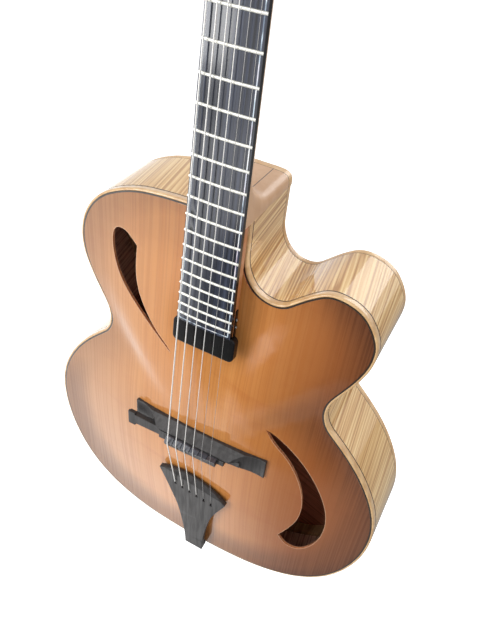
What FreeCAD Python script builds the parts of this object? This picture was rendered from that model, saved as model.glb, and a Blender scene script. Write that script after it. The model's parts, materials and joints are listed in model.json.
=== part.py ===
import FreeCAD, Part
import bisect
import math
import os

from FreeCAD import Placement, Rotation, Vector

# Archtop guitar, in millimetres. +Z runs up the body, +X to the treble side, the front faces -Y.
# The origin is on the tail of the body, in the middle of the ribs, on the axis of the end pin jack.

# Body
body_length = 526.5
lower_bout_width = 427.0
waist_width = 259.2
upper_bout_width = 318.4
rim_depth = 82.0
side_thickness = 2.4
plate_thickness = 3.0
top_arch = 18.5
back_arch = 16.0
arch_fullness = 1.4
binding_height = 7.0
binding_round = 1.6
purfling_width = 1.6
line_thickness = 0.6
lining_width = 6.0
lining_height = 14.0
lining_gap = 0.5
neck_block_width = 70.0
neck_block_length = 55.0
tail_block_width = 80.0
tail_block_length = 45.0
tone_bar_width = 8.0
tone_bar_height = 12.0
tone_bar_spacing = 64.0
tone_bar_tail_gap = 30.0
tone_bar_neck_gap = 39.0

# Neck and fingerboard
scale_length = 635.0
joint_fret = 14
fret_count = 22
neck_angle = 3.83
board_rise = 18.0
nut_width = 43.5
board_end_width = 57.8
board_overhang = 9.0
board_thickness = 6.0
board_radius = 305.0
fret_height = 1.1
fret_width = 2.6
tang_width = 0.6
tang_depth = 1.8
tang_setback = 5.0
inlay_inset = 2.0
inlay_width = 0.9
inlay_depth = 0.9
neck_depth_at_nut = 14.5
neck_depth_at_heel = 16.5
neck_roundness = 1.8
heel_roundness = 5.0
heel_width = 53.0
heel_length = 14.5
heel_curve = 28.0
extension_thickness = 6.5
strip_width = 0.8
strip_spread = 19.4
nut_thickness = 5.0
nut_rise = 1.4

# Headstock
headstock_angle = 13.0
headstock_length = 172.0
headstock_width = 72.0
headstock_thickness = 13.0
headplate_thickness = 2.0

# Truss rod
rod_radius = 2.5
rod_depth = 8.0
rod_setback = 12.0
rod_end = 16.0
rod_nut_radius = 3.5
rod_nut_length = 9.0
rod_nut_gap = 3.0
pocket_width = 10.0
pocket_length = 30.0
pocket_clearance = 0.8
cover_low = 1.0
cover_width = 22.0
cover_tip_width = 9.0
cover_length = 40.0
cover_thickness = 1.8
cover_screw_radius = 1.2
cover_screw_head_radius = 2.0
cover_screw_head = 1.0
cover_screw_length = 7.0
cover_screw_inset = 3.5

# Pickup
pickup_width = 68.0
pickup_length = 28.4
pickup_height = 7.5
pickup_drop = 4.0
pickup_gap = 0.4
pickup_corner = 6.0
pickup_edge = 1.2
pickup_wall = 1.2
coil_width = 56.0
coil_length = 14.0
coil_height = 4.6
magnet_width = 50.0
magnet_length = 4.0
bracket_thickness = 1.0
bracket_height = 3.6
bracket_length = 30.0
bracket_screw_spacing = 8.4
bracket_screw_radius = 0.9
bracket_screw_head_radius = 1.6
bracket_screw_head = 1.4
bracket_screw_length = 8.0

# Bridge
bridge_length = 168.0
bridge_front = 14.5
bridge_rear = 7.6
bridge_foot_rear = 13.7
bridge_waist = 104.0
bridge_end_height = 3.2
bridge_front_edge = 3.0
bridge_plateau = 94.0
ramp_top = 3.0
ramp_land = 1.8
ramp_step = 0.5
floor_height = 5.5
wedge_handle_width = 20.6
wedge_handle_length = 9.5
wedge_handle_overhang = 3.2
wedge_handle_thickness = 3.2
wedge_left = 87.5
wedge_right = 57.0
wedge_thickness = 4.6
wedge_slope = 2.5
ramp_clearance = 0.3
saddle_left = 43.0
saddle_right = 41.0
segment_gap = 0.7
segment_tail = 1.2
segment_tail_fall = 0.4
segment_height = 7.0
segment_fall = 5.0
saddle_fall = 2.6
slide_clearance = 0.1
string_clearance = 0.1

# Tailpiece
tailpiece_width = 92.3
tailpiece_shift = 1.8
tailpiece_waist = 26.0
tailpiece_overhang = 0.6
tailpiece_thickness = 6.0
tailpiece_top = 88.2
tailpiece_rise = 24.0
tailpiece_foot_rise = 12.65
tailpiece_slant = 15.0
tailpiece_flare = -113.0
tailpiece_crest = 16.0
tailpiece_bevel = 12.0
tailpiece_bevel_drop = 4.0
tailpiece_lip = 11.5
tailpiece_lip_height = 5.0
key_hole_radius = 1.9
key_slot_width = 1.9
key_slot_length = 6.5
key_setback = 17.5
key_spread = 50.6
key_slant = 10.0
strap_width = 12.0
strap_thickness = 1.5
strap_grip = 28.0
strap_clearance = 0.2

# End pin jack
jack_bore_radius = 3.2
jack_barrel_radius = 6.0
jack_length_inside = 58.0
jack_flange_radius = 9.5
jack_flange = 2.5
jack_waist_radius = 6.6
jack_waist = 7.0
jack_head_radius = 8.5
jack_head = 5.0
jack_nut_radius = 9.0
jack_nut_length = 3.0

# Strings, from the bass side to the treble side
string_diameters = [1.42, 1.17, 0.95, 0.76, 0.46, 0.36]
wound_count = 4
nut_spread = 36.0
saddle_spread = 54.4
saddle_shift = 0.7
saddle_action = 3.5
nut_action = 0.35
bass_compensation = 5.0
anchor_depth = 3.6
anchor_bend = 1.7
saddle_bend = 8.0
nut_bend = 8.0
winding_turns = 3
winding_gap = 0.5

# Tuners
post_radius = 3.0
post_height = 14.0
post_clearance = 0.05
wrap_clearance = 0.12
post_first = 42.0
post_step = 40.0
post_spread = 46.0
post_spread_step = 2.0
bushing_radius = 5.0
bushing_flange_radius = 7.0
bushing_flange = 1.8
gear_radius = 5.4
gear_thickness = 3.0
worm_radius = 2.2
mesh_gap = 0.2
housing_width = 19.0
housing_wall = 1.5
cavity_clearance = 0.4
shaft_radius = 1.8
button_width = 17.0
button_height = 14.0
button_thickness = 8.0
button_offset = 20.0
ear_radius = 3.2
ear_thickness = 1.6
ear_screw_radius = 1.1
ear_screw_head_radius = 2.1
ear_screw_head = 1.2
ear_screw_length = 9.0

# One overrun serves every cut
overrun = 20.0

half_rim = rim_depth / 2
half_lower = lower_bout_width / 2
half_waist = waist_width / 2
half_upper = upper_bout_width / 2
half_heel = heel_width / 2
front_plane = -half_rim
plate_inset = side_thickness + purfling_width

# Outline anchors as shares: width share of the bout named, height share of the body, heading in degrees
lower_shares = [(0.568, 0.0406, 25.0), (1.0, 0.3495, 90.0), (0.766, 0.5705, 133.0)]
waist_height_share = 0.663
upper_shares = [(0.914, 0.746, 64.5), (1.0, 0.8395, 90.0)]
cutaway_shares = [(0.921, 0.900, 129.0), (0.718, 0.927, 180.0), (0.534, 0.898, 222.0), (0.358, 0.8636, 180.0)]
cutaway_straight_share = 0.9345
shoulder_share = (0.759, 0.9658, 150.6)

# Sound holes as shares of half the lower bout and of the body length, with the headings in and out
treble_hole_shares = [
    (0.351, 0.567, 118.0, -20.0),
    (0.594, 0.496, -50.0, -50.0),
    (0.757, 0.327, -90.0, -90.0),
    (0.695, 0.222, -119.0, -119.0),
    (0.609, 0.195, 180.0, 180.0),
    (0.523, 0.228, 118.0, 65.0),
    (0.617, 0.361, 90.0, 90.0),
    (0.527, 0.485, 123.0, 123.0),
]
bass_hole_shares = [
    (-0.191, 0.669, -62.0, 139.0),
    (-0.401, 0.743, 137.0, 137.0),
    (-0.519, 0.803, 114.0, 114.0),
    (-0.554, 0.868, 90.0, 90.0),
    (-0.506, 0.899, 0.0, 0.0),
    (-0.414, 0.875, -45.0, -93.0),
    (-0.417, 0.838, -90.0, -90.0),
    (-0.378, 0.765, -63.0, -63.0),
    (-0.281, 0.708, -47.0, -47.0),
]

# Headstock half outline: width share and length share
headstock_shares = [(0.90, 0.10), (1.0, 0.20), (0.80, 0.92)]

# Tailpiece half outline below its top corners: width share, length share and heading
tailpiece_shares = [(0.615, 0.30, -109.0), (0.372, 0.643, -98.0)]

# Grid of the arched surfaces and samples of the rim
arch_columns = 24
arch_rows = 28
rim_samples = 480
section_points = 11
heel_sections = 7
heel_fill_share = 0.98
coil_round_share = 0.98
shoulder_bow_shares = (0.43, 0.795)
foot_bow_shares = (0.44, 0.68)
bridge_skew_share = 0.05
unit_radius = 1.0
seam_turn = 90.0
tolerance = 1e-9


def heading(angle):
    turn = math.radians(angle)
    return Vector(math.cos(turn), 0, math.sin(turn))


def left_of(direction):
    return Vector(-direction.z, 0, direction.x)


def arc_through(start, direction, end):
    """Start, middle and end of the arc that leaves start along direction, each with its direction."""
    chord = end - start
    along = Vector(chord).normalize()
    bow = direction - along * direction.dot(along)
    middle = (start + end) * 0.5
    if bow.Length > tolerance:
        half_turn = math.atan2(bow.Length, direction.dot(along))
        middle = middle + Vector(bow).normalize() * (chord.Length / 2 * math.tan(half_turn / 2))
    leaving = along * (2 * direction.dot(along)) - direction
    return [(start, direction), (middle, along), (end, leaving)]


def biarc(start, direction, end, arrival):
    """Two tangent arcs from start along direction to end along arrival."""
    gap = end - start
    both = direction + arrival
    spread = 2 * (1 - direction.dot(arrival))
    if spread < tolerance:
        reach = gap.dot(gap) / (2 * gap.dot(both))
    else:
        reach = (math.sqrt(gap.dot(both) ** 2 + spread * gap.dot(gap)) - gap.dot(both)) / spread
    joint = (start + end + (direction - arrival) * reach) * 0.5
    first = arc_through(start, direction, joint)
    return [first, arc_through(joint, first[2][1], end)]


def edge_through(start, middle, end):
    straight = (middle - start).cross(end - start).Length < tolerance * (end - start).Length ** 2
    if straight:
        return Part.LineSegment(start, end).toShape()
    return Part.Arc(start, middle, end).toShape()


def chain_arcs(anchors):
    """Arcs through anchors of (point, heading in, heading out)."""
    arcs = []
    for here, there in zip(anchors[:-1], anchors[1:]):
        arcs += biarc(here[0], heading(here[2]), there[0], heading(there[1]))
    return arcs


def rim_anchors():
    lower = [(half_lower * w, body_length * h, a) for w, h, a in lower_shares]
    waist = [(half_waist, body_length * waist_height_share, 90.0)]
    upper = [(half_upper * w, body_length * h, a) for w, h, a in upper_shares]
    return [(0, 0, 0.0)] + lower + waist + upper


def treble_anchors():
    cutaway = [(half_upper * w, body_length * h, a) for w, h, a in cutaway_shares]
    return rim_anchors() + cutaway + [(half_heel, body_length * cutaway_straight_share, 90.0)]


def bass_anchors():
    w, h, a = shoulder_share
    side = rim_anchors() + [(half_upper * w, body_length * h, a), (half_heel, body_length, 180.0)]
    return [(-x, z, -angle) for x, z, angle in reversed(side)]


def as_chain(anchors):
    return chain_arcs([(Vector(x, 0, z), a, a) for x, z, a in anchors])


treble_arcs = as_chain(treble_anchors())
bass_arcs = as_chain(bass_anchors())


def inset_edges(arcs, inset, y):
    edges = []
    for arc in arcs:
        points = [point + left_of(along) * inset + Vector(0, y, 0) for point, along in arc]
        edges.append(edge_through(*points))
    return edges


def body_wire(inset, y):
    """Body outline moved in by inset, in the plane at depth y. The neck end has one square corner."""
    treble = inset_edges(treble_arcs, inset, y)
    bass = inset_edges(bass_arcs, inset, y)
    corner = Vector(half_heel - inset, y, body_length - inset)
    side = Part.LineSegment(treble[-1].lastVertex(True).Point, corner).toShape()
    end = Part.LineSegment(corner, bass[0].firstVertex(True).Point).toShape()
    return Part.Wire(treble + [side, end] + bass)


def body_prism(inset, low, high):
    return Part.Face(body_wire(inset, low)).extrude(Vector(0, high - low, 0))


def body_ring(inset, width, low, high):
    return body_prism(inset, low, high).cut(body_prism(inset + width, low - overrun, high + overrun))


# Neck frame: x across, y behind the fret tops, z along the neck from the body joint to the nut
neck_frame = Placement(
    Vector(0, front_plane - board_rise, body_length), Rotation(Vector(1, 0, 0), -neck_angle)
)
joint_reach = scale_length * 2 ** (-joint_fret / 12)
nut_place = scale_length - joint_reach
board_top = fret_height
board_under = fret_height + board_thickness
last_fret = scale_length * 2 ** (-fret_count / 12) - joint_reach
board_end = last_fret - board_overhang
head_frame = neck_frame.multiply(
    Placement(Vector(0, board_under, nut_place + nut_thickness), Rotation(Vector(1, 0, 0), -headstock_angle))
)


def on_neck(x, y, z):
    return neck_frame.multVec(Vector(x, y, z))


def on_head(x, y, z):
    return head_frame.multVec(Vector(x, y, z))


def placed(shape, frame):
    result = shape.copy()
    result.Placement = frame.multiply(result.Placement)
    return result


def slab(low, high):
    """Box between two corners given in any order."""
    size = [abs(b - a) for a, b in zip(low, high)]
    corner = Vector(*[min(a, b) for a, b in zip(low, high)])
    return Part.makeBox(*size, corner)


def rod(radius, start, end):
    along = end - start
    return Part.makeCylinder(radius, along.Length, start, along)


def prism(points, along):
    return Part.Face(Part.makePolygon(points + points[:1])).extrude(along)


def fused(shapes):
    whole = shapes[0]
    for shape in shapes[1:]:
        whole = whole.fuse(shape)
    return whole.removeSplitter()


bridge_center = on_neck(0, -saddle_action, -joint_reach - bass_compensation / 2)
bridge_z = bridge_center.z
ridge_y = bridge_center.y

# Arched surfaces: the height falls from the crown, under the bridge, to nothing at the rim
rim_polar = sorted(
    (math.atan2(p.x, p.z - bridge_z), math.hypot(p.x, p.z - bridge_z))
    for p in body_wire(0, 0).discretize(rim_samples)
)
rim_polar = (
    [(rim_polar[-1][0] - 2 * math.pi, rim_polar[-1][1])]
    + rim_polar
    + [(rim_polar[0][0] + 2 * math.pi, rim_polar[0][1])]
)


def rim_radius(angle):
    at = bisect.bisect_right(rim_polar, (angle, 0))
    low, high = rim_polar[at - 1], rim_polar[at]
    span = high[0] - low[0]
    part = (angle - low[0]) / span if span > tolerance else 0
    return low[1] + (high[1] - low[1]) * part


def arch_share(x, z):
    out = math.hypot(x, z - bridge_z) / rim_radius(math.atan2(x, z - bridge_z))
    return (1 + math.cos(math.pi * min(out, 1.0) ** arch_fullness)) / 2


def top_y(x, z):
    return front_plane - top_arch * arch_share(x, z)


def arch_face(rise, side, depth):
    """Arched face over the whole body, depth below the outside of the top (side -1) or back (side 1)."""
    left = -half_lower - overrun
    bottom = -overrun
    step_x = (lower_bout_width + 2 * overrun) / arch_columns
    step_z = (body_length + 2 * overrun) / arch_rows
    grid = []
    for i in range(arch_columns + 1):
        x = left + step_x * i
        column = []
        for j in range(arch_rows + 1):
            z = bottom + step_z * j
            column.append(Vector(x, side * (half_rim + rise * arch_share(x, z) - depth), z))
        grid.append(column)
    surface = Part.BSplineSurface()
    surface.interpolate(grid)
    return surface.toShape()


def hole_prism(shares):
    anchors = [(Vector(half_lower * w, 0, body_length * h), a, b) for w, h, a, b in shares]
    arcs = chain_arcs(anchors + anchors[:1])
    low = front_plane - top_arch - overrun
    wire = Part.Wire(inset_edges(arcs, 0, low))
    return Part.Face(wire).extrude(Vector(0, top_arch + 2 * overrun, 0))


def top_slice():
    return arch_face(top_arch, -1, 0).extrude(Vector(0, plate_thickness, 0))


def back_slice():
    return arch_face(back_arch, 1, 0).extrude(Vector(0, -plate_thickness, 0))


def plate_slices():
    return Part.makeCompound([top_slice(), back_slice()])


def make_top_plate():
    block = body_prism(plate_inset, front_plane - top_arch - overrun, front_plane + overrun)
    plate = top_slice().common(block)
    for shares in (treble_hole_shares, bass_hole_shares):
        plate = plate.cut(hole_prism(shares))
    return plate


def make_back_plate():
    return back_slice().common(body_prism(plate_inset, half_rim - overrun, half_rim + back_arch + overrun))


def rounded_binding(low, high, outer):
    """Binding ring whose outer edge, at depth outer, is rounded."""
    ring = body_ring(0, side_thickness, low, high)
    edges = []
    for edge in ring.Edges:
        box = edge.BoundBox
        flat = abs(box.YMin - outer) < tolerance ** 0.5 and abs(box.YMax - outer) < tolerance ** 0.5
        point = edge.valueAt((edge.FirstParameter + edge.LastParameter) / 2)
        probe = Part.Vertex(Vector(point.x, 0, point.z))
        if flat and probe.distToShape(rim_guide)[0] < side_thickness / 2:
            edges.append(edge)
    return ring.makeFillet(binding_round, edges)


rim_guide = body_wire(0, 0)
line_low = front_plane + binding_height
line_high = half_rim - binding_height


def jack_bore():
    return rod(jack_barrel_radius, Vector(0, 0, -overrun), Vector(0, 0, tail_block_length + overrun))


def make_ribs():
    ring = body_ring(0, side_thickness, line_low + line_thickness, line_high - line_thickness)
    ring = ring.cut(jack_bore())
    reach = half_lower + overrun
    low = Vector(0, -rim_depth, -overrun)
    bass = ring.common(slab(low, Vector(-reach, rim_depth, body_length + overrun)))
    treble = ring.common(slab(low, Vector(reach, rim_depth, body_length + overrun)))
    return bass, treble


def make_rib_lines():
    front = body_ring(0, side_thickness, line_low, line_low + line_thickness)
    back = body_ring(0, side_thickness, line_high - line_thickness, line_high)
    cap = heel_cap_prism(line_high - line_thickness, line_high)
    return Part.makeCompound([front, back, cap])


def make_purfling():
    top = body_ring(side_thickness, purfling_width, front_plane, front_plane + plate_thickness)
    back = body_ring(side_thickness, purfling_width, half_rim - plate_thickness, half_rim)
    return Part.makeCompound([top, back])


block_top = front_plane + plate_thickness
block_back = half_rim - plate_thickness
block_right = half_heel - side_thickness
block_end = body_length - side_thickness


def make_neck_block():
    low = Vector(block_right - neck_block_width, block_top, block_end - neck_block_length)
    box = slab(low, Vector(block_right, block_back, block_end))
    return box.common(body_prism(side_thickness, -rim_depth, rim_depth)).cut(plate_slices())


def make_tail_block():
    half = tail_block_width / 2
    box = slab(Vector(-half, block_top, -overrun), Vector(half, block_back, tail_block_length))
    block = box.common(body_prism(side_thickness, -rim_depth, rim_depth)).cut(plate_slices())
    return block.cut(jack_bore())


def make_lining(low, high):
    ring = body_ring(side_thickness, lining_width, low, high)
    half = tail_block_width / 2
    for corner, other in (
        (Vector(-half, -rim_depth, -overrun), Vector(half, rim_depth, tail_block_length)),
        (
            Vector(block_right - neck_block_width, -rim_depth, block_end - neck_block_length),
            Vector(half_heel, rim_depth, body_length),
        ),
    ):
        ring = ring.cut(slab(corner, other))
    return ring


def make_tone_bars():
    under = arch_face(top_arch, -1, plate_thickness).extrude(Vector(0, tone_bar_height, 0))
    bars = []
    for side in (-1, 1):
        x = side * tone_bar_spacing / 2
        box = slab(
            Vector(x - tone_bar_width / 2, -rim_depth, tail_block_length + tone_bar_tail_gap),
            Vector(x + tone_bar_width / 2, rim_depth, block_end - neck_block_length - tone_bar_neck_gap),
        )
        bars.append(box.common(under))
    return Part.makeCompound(bars)


# Neck
def board_half(z):
    run = (nut_place - z) / (nut_place - board_end)
    return (nut_width + (board_end_width - nut_width) * run) / 2


def neck_depth(z):
    return neck_depth_at_heel + (neck_depth_at_nut - neck_depth_at_heel) * z / nut_place


def round_section(center, across, out, half_width, depth, roundness, reach):
    """Closed section: flat on the far side, rounded towards center, reach away from it."""
    points = []
    for i in range(section_points):
        turn = math.pi * i / (section_points - 1)
        c, s = math.cos(turn), math.sin(turn)
        x = math.copysign(abs(c) ** (2 / roundness), c) * half_width
        near = abs(s) ** (2 / roundness) if i not in (0, section_points - 1) else 0
        points.append(center + across * x + out * (reach + depth * (1 - near)))
    curve = Part.BSplineCurve()
    curve.interpolate(points)
    return Part.Wire([curve.toShape(), Part.LineSegment(points[-1], points[0]).toShape()])


across = Vector(1, 0, 0)
neck_back = neck_frame.Rotation.multVec(Vector(0, 1, 0))
heel_face = body_length + heel_length
heel_curve_z = heel_face + heel_curve
heel_start = (neck_frame.inverse().multVec(Vector(0, 0, heel_curve_z))).z
heel_center = on_neck(0, board_under + neck_depth(heel_start) + heel_curve, heel_start)
heel_drop = heel_center.z - heel_curve - body_length


def heel_cap_prism(low, high):
    base = Vector(0, low, heel_center.z)
    section = round_section(base, across, Vector(0, 0, -1), half_heel, heel_drop, heel_roundness, heel_curve)
    return Part.Face(section).extrude(Vector(0, high - low, 0))


def make_heel():
    """Heel that turns from the back of the neck down to the cap."""
    swing = 90.0 + neck_angle
    wires = []
    inner = []
    for i in range(heel_sections):
        share = i / (heel_sections - 1)
        out = Rotation(Vector(1, 0, 0), swing * share).multVec(neck_back * -1)
        depth = neck_depth(heel_start) + (heel_drop - neck_depth(heel_start)) * share
        half = board_half(heel_start) + (half_heel - board_half(heel_start)) * share
        roundness = neck_roundness + (heel_roundness - neck_roundness) * share
        wires.append(round_section(heel_center, across, out, half, depth, roundness, heel_curve))
        inner.append(heel_center + out * (heel_curve + depth * heel_fill_share))
    turn = Part.makeLoft(wires, True, False)
    drop = heel_cap_prism(heel_center.y, line_high - line_thickness)
    top = on_neck(0, board_under, 0)
    top_corner = Vector(0, top.y + math.tan(math.radians(neck_angle)) * (body_length - top.z), body_length)
    first = heel_center - neck_back * (heel_curve + neck_depth(heel_start))
    root = [top_corner, Vector(0, inner[-1].y, body_length)] + inner[::-1] + [first]
    side = Vector(-half_heel, 0, 0)
    filler = prism([point + side for point in root], Vector(heel_width, 0, 0))
    return [turn, drop, filler]


def shaft_section(z):
    center = on_neck(0, board_under + neck_depth(z), z)
    return round_section(center, across, neck_back * -1, board_half(z), neck_depth(z), neck_roundness, 0)


def make_shaft():
    return Part.makeLoft([shaft_section(heel_start), shaft_section(nut_place + nut_thickness)], True, True)


def board_prism(inset, low_z, high_z, top, bottom):
    """Tapered slice of the fingerboard between two depths."""
    points = []
    for z, side in ((low_z, -1), (low_z, 1), (high_z, 1), (high_z, -1)):
        points.append(Vector(side * (board_half(z) - inset), top, z))
    return prism(points, Vector(0, bottom - top, 0))


def make_extension():
    top = board_under
    start = on_neck(0, top, 0)
    body_side = (body_length - start.z) / neck_frame.Rotation.multVec(Vector(0, 0, 1)).z
    piece = board_prism(0, board_end, body_side + overrun / 2, top, top + extension_thickness)
    piece = piece.cut(Part.makeCompound(bracket_screw_bores()))
    neck_side = slab(
        Vector(-half_lower, -rim_depth * 2, body_length),
        Vector(half_lower, rim_depth * 2, body_length + 2 * overrun),
    )
    return placed(piece, neck_frame).cut(neck_side)


def headstock_face(y):
    half = headstock_width / 2
    left = [(nut_width / 2, 0)] + [(half * w, headstock_length * h) for w, h in headstock_shares]
    right = [Vector(x, y, z) for x, z in left]
    mirror = [Vector(-x, y, z) for x, z in reversed(left)]
    edges = []
    for points in (right, mirror):
        curve = Part.BSplineCurve()
        curve.interpolate(points)
        edges.append(curve.toShape())
    top = Part.Arc(right[-1], Vector(0, y, headstock_length), mirror[0]).toShape()
    base = Part.LineSegment(mirror[-1], right[0]).toShape()
    return Part.Face(Part.Wire([edges[0], top, edges[1], base]))


def headstock_slice(low, high):
    return headstock_face(low).extrude(Vector(0, high - low, 0))


def post_places():
    """Posts in string order, from the bass side round to the treble side: x, z, side."""
    places = []
    for row in range(3):
        x = post_spread / 2 - post_spread_step * row / 2
        places.append((-x, post_first + post_step * row, -1))
    for row in reversed(range(3)):
        x = post_spread / 2 - post_spread_step * row / 2
        places.append((x, post_first + post_step * row, 1))
    return places


head_back = headplate_thickness + headstock_thickness
worm_reach = gear_radius + worm_radius + mesh_gap
gear_low = head_back + housing_wall
gear_high = gear_low + gear_thickness
worm_level = (gear_low + gear_high) / 2
housing_below = gear_radius + cavity_clearance + housing_wall
housing_above = worm_reach + worm_radius + cavity_clearance + housing_wall
housing_back = worm_level + worm_radius + cavity_clearance + housing_wall


def rod_axis_bore(radius, low, high):
    depth = board_under + rod_depth
    return placed(rod(radius, Vector(0, depth, low), Vector(0, depth, high)), neck_frame)


rod_tip = nut_place + nut_thickness + rod_end
rod_nut_low = nut_place + nut_thickness + rod_nut_gap


def rod_pocket():
    half = pocket_width / 2
    depth = rod_depth + rod_nut_radius + pocket_clearance
    box = slab(Vector(-half, -overrun, 0), Vector(half, depth, pocket_length))
    return placed(box, head_frame)


def cover_screw_places():
    side = cover_width / 2 - cover_screw_inset
    low = cover_low + cover_screw_inset
    high = cover_low + cover_length - cover_screw_inset
    return [Vector(-side, 0, low), Vector(side, 0, low), Vector(0, 0, high)]


def post_bores():
    holes = []
    for x, z, side in post_places():
        holes.append(rod(bushing_radius, Vector(x, -overrun, z), Vector(x, head_back, z)))
        screw = ear_place(x, z)
        holes.append(rod(ear_screw_radius, Vector(screw[0], head_back - ear_screw_length, screw[1]),
                         Vector(screw[0], head_back, screw[1])))
    return [placed(hole, head_frame) for hole in holes]


def ear_place(x, z):
    return x, z - housing_below - ear_radius


def bracket_screw_ends():
    ends = []
    middle = board_end + bracket_length / 2
    depth = board_under + extension_thickness / 2
    for step in (-1, 1):
        z = middle + step * bracket_screw_spacing / 2
        side = board_half(z) + bracket_thickness
        ends.append((Vector(side - bracket_screw_length, depth, z), Vector(side, depth, z)))
    return ends


def make_neck():
    head = placed(headstock_slice(headplate_thickness, head_back), head_frame)
    neck = fused([make_shaft()] + make_heel() + [head])
    neck = neck.cut(rod_axis_bore(rod_radius, rod_setback, nut_place + nut_thickness + overrun))
    neck = neck.cut(rod_pocket()).cut(placed(headstock_slice(-overrun, headplate_thickness), head_frame))
    neck = neck.cut(Part.makeCompound(post_bores()))
    screws = [rod(cover_screw_radius, p, p + Vector(0, cover_screw_length, 0)) for p in cover_screw_places()]
    neck = neck.cut(Part.makeCompound([placed(s, head_frame) for s in screws]))
    return neck.cut(slab(Vector(-half_lower, -rim_depth, 0), Vector(half_lower, rim_depth, body_length)))


def neck_layer(neck, low, high):
    """Layer of the neck between two places across it."""
    reach = 2 * rim_depth
    return neck.common(slab(Vector(low, -reach, 0), Vector(high, reach, scale_length + body_length)))


def bracket_screw_bores():
    return [rod(bracket_screw_radius, start, end) for start, end in bracket_screw_ends()]


def make_heel_cap():
    return heel_cap_prism(line_high, half_rim)


# Fingerboard
def board_cylinder(radius):
    start = Vector(0, board_top + board_radius, board_end - overrun)
    return rod(radius, start, Vector(0, board_top + board_radius, nut_place + overrun))


def inlay_strip():
    outer = board_prism(inlay_inset, board_end + inlay_inset, nut_place, -overrun, board_under)
    inner_inset = inlay_inset + inlay_width
    inner = board_prism(inner_inset, board_end + inner_inset, nut_place + overrun, -overrun, board_under)
    shell = board_cylinder(board_radius).cut(board_cylinder(board_radius - inlay_depth))
    return outer.cut(inner).common(shell)


def fret_places():
    return [scale_length * 2 ** (-(i + 1) / 12) - joint_reach for i in range(fret_count)]


def swept_over_board(face, half_width):
    """Face in the middle plane, turned about the board's crown axis over the board's width."""
    axis = Vector(0, board_top + board_radius, 0)
    turn = math.degrees(half_width / board_radius)
    start = face.copy()
    start.rotate(axis, Vector(0, 0, 1), -turn)
    return start.revolve(axis, Vector(0, 0, 1), 2 * turn)


def fret_tang(z):
    half = tang_width / 2
    points = [
        Vector(0, board_top, z - half),
        Vector(0, board_top + tang_depth, z - half),
        Vector(0, board_top + tang_depth, z + half),
        Vector(0, board_top, z + half),
    ]
    face = Part.Face(Part.makePolygon(points + points[:1]))
    return swept_over_board(face, board_half(z) - tang_setback)


def fret_crown(z):
    low = Vector(0, board_top, z - fret_width / 2)
    high = Vector(0, board_top, z + fret_width / 2)
    arc = Part.Arc(low, Vector(0, 0, z), high).toShape()
    face = Part.Face(Part.Wire([arc, Part.LineSegment(high, low).toShape()]))
    return swept_over_board(face, board_half(z))


def make_fingerboard():
    board = board_prism(0, board_end, nut_place, board_top - overrun, board_under)
    board = board.common(board_cylinder(board_radius)).cut(inlay_strip())
    board = board.cut(Part.makeCompound([fret_tang(z) for z in fret_places()]))
    return placed(board, neck_frame)


def make_frets():
    frets = [fret_crown(z).fuse(fret_tang(z)).removeSplitter() for z in fret_places()]
    return Part.makeCompound([placed(fret, neck_frame) for fret in frets])


string_shares = [i / (len(string_diameters) - 1) - 0.5 for i in range(len(string_diameters))]


def nut_string(i):
    radius = string_diameters[i] / 2
    return Vector(nut_spread * string_shares[i], -nut_action - radius, nut_place + nut_thickness / 2)


def make_nut():
    """Nut with one slot for each string, which falls away behind the middle towards the headstock."""
    half = nut_width / 2
    nut = slab(Vector(-half, -nut_rise, nut_place), Vector(half, board_under, nut_place + nut_thickness))
    for i, diameter in enumerate(string_diameters):
        at = nut_string(i)
        down = neck_frame.inverse().multVec(winding_start(i))
        half_slot = diameter / 2 + string_clearance
        side = Vector(-half_slot, half_slot, 0)
        up = Vector(0, -overrun, 0)
        front = at - Vector(0, 0, overrun)
        points = [front + side, at + side, down + side, down + side + up, front + side + up]
        nut = nut.cut(prism_along_x(points, 2 * half_slot))
    return placed(nut, neck_frame)


def prism_along_x(points, width):
    """Slot that follows points in depth and height, but runs straight along the neck."""
    flat = [Vector(points[0].x, point.y, point.z) for point in points]
    return prism(flat, Vector(width, 0, 0))


def make_headplate():
    plate = headstock_slice(0, headplate_thickness)
    holes = []
    for x, z, side in post_places():
        holes.append(rod(bushing_radius, Vector(x, -overrun, z), Vector(x, overrun, z)))
    half = pocket_width / 2
    holes.append(slab(Vector(-half, -overrun, -overrun), Vector(half, overrun, pocket_length)))
    holes += [rod(cover_screw_radius, p, p + Vector(0, cover_screw_length, 0)) for p in cover_screw_places()]
    return placed(plate.cut(Part.makeCompound(holes)), head_frame)


def make_truss_rod():
    return rod_axis_bore(rod_radius, rod_setback, rod_tip)


def make_rod_nut():
    outer = rod_axis_bore(rod_nut_radius, rod_nut_low, rod_nut_low + rod_nut_length)
    return outer.cut(rod_axis_bore(rod_radius + post_clearance, rod_nut_low - overrun, rod_tip + overrun))


def make_rod_cover():
    half = cover_width / 2
    points = [
        Vector(-half, 0, cover_low),
        Vector(half, 0, cover_low),
        Vector(cover_tip_width / 2, 0, cover_low + cover_length),
        Vector(-cover_tip_width / 2, 0, cover_low + cover_length),
    ]
    cover = prism(points, Vector(0, -cover_thickness, 0))
    holes = [rod(cover_screw_radius, p, p - Vector(0, overrun, 0)) for p in cover_screw_places()]
    return placed(cover.cut(Part.makeCompound(holes)), head_frame)


def make_cover_screws():
    screws = []
    for p in cover_screw_places():
        top = p - Vector(0, cover_thickness, 0)
        shank = rod(cover_screw_radius, p + Vector(0, cover_screw_length, 0), top)
        head = rod(cover_screw_head_radius, top, top - Vector(0, cover_screw_head, 0))
        screws.append(placed(shank.fuse(head).removeSplitter(), head_frame))
    return Part.makeCompound(screws)


# Pickup
pickup_high = board_end - pickup_gap
pickup_low = pickup_high - pickup_length


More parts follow.
